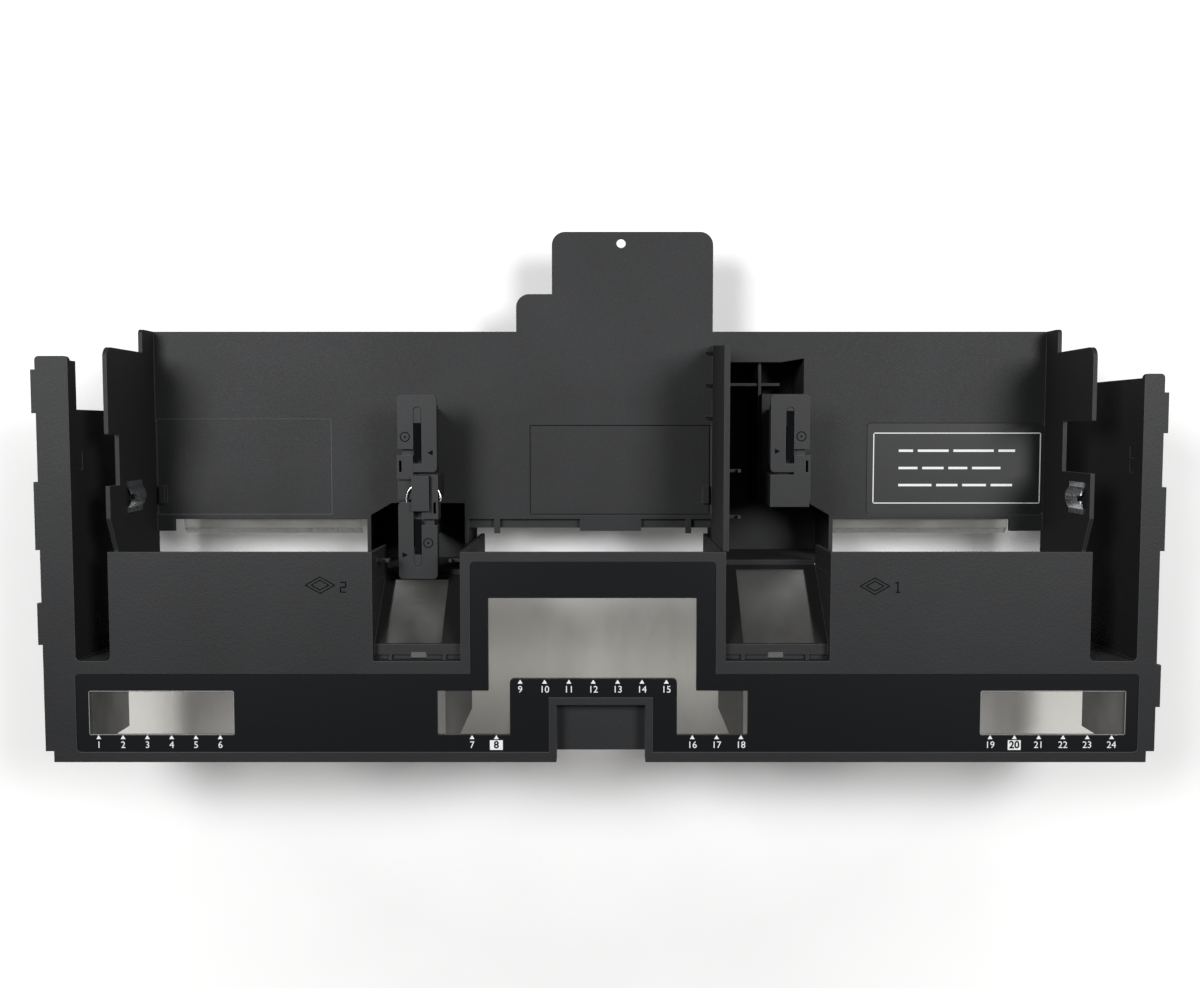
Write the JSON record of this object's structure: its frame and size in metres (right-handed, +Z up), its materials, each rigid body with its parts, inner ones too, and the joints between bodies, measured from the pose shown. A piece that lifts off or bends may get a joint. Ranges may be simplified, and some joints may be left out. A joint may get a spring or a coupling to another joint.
{
  "type": "server air baffle shroud",
  "caption": "Wide low air shroud for a rack server: a printed hood with clear windows over open ducts, and a flat card tray with a rear tongue, cable wells and slide locks.",
  "frame": {"origin": "middle of the bounding box across and along, on the plane of the undersides", "axes": "+X across the server to the right, +Y from the fans to the rear, +Z up"},
  "size_m": [0.4324, 0.2108, 0.077],
  "materials": {
    "hood_plastic": "fine moulded grain",
    "tray_plastic": "fine moulded grain, a little smoother",
    "film": "smooth printed film",
    "clear_plastic": "clear, polished",
    "label": "smooth printed sheet",
    "lock_plastic": "fine moulded grain",
    "spring_steel": "bright rolled strip"
  },
  "bodies": {
    "shroud": {"front_hood": "hood_plastic", "card_tray": "tray_plastic", "printed_film": "film", "window_left": "clear_plastic", "window_middle": "clear_plastic", "window_right": "clear_plastic", "window_ramp_left": "clear_plastic", "window_ramp_right": "clear_plastic", "notice_plate": "label", "flap_left": "clear_plastic", "flap_right": "clear_plastic", "lock_base_left": "lock_plastic", "lock_base_right": "lock_plastic", "lock_cap": "lock_plastic", "lock_ring": "spring_steel", "side_clip_left": "spring_steel", "side_clip_right": "spring_steel"},
    "slider_rear": {"lock_slider_rear": "lock_plastic"},
    "slider_front": {"lock_slider_front": "lock_plastic"},
    "slider_right": {"lock_slider_right": "lock_plastic"}
  },
  "joints": [
    {"name": "slide_rear", "type": "slide", "parent": "shroud", "child": "slider_rear", "axis": [0, 1, 0], "range_m": [0, 0.007]},
    {"name": "slide_front", "type": "slide", "parent": "shroud", "child": "slider_front", "axis": [0, -1, 0], "range_m": [0, 0.007]},
    {"name": "slide_right", "type": "slide", "parent": "shroud", "child": "slider_right", "axis": [0, 1, 0], "range_m": [0, 0.007]}
  ]
}
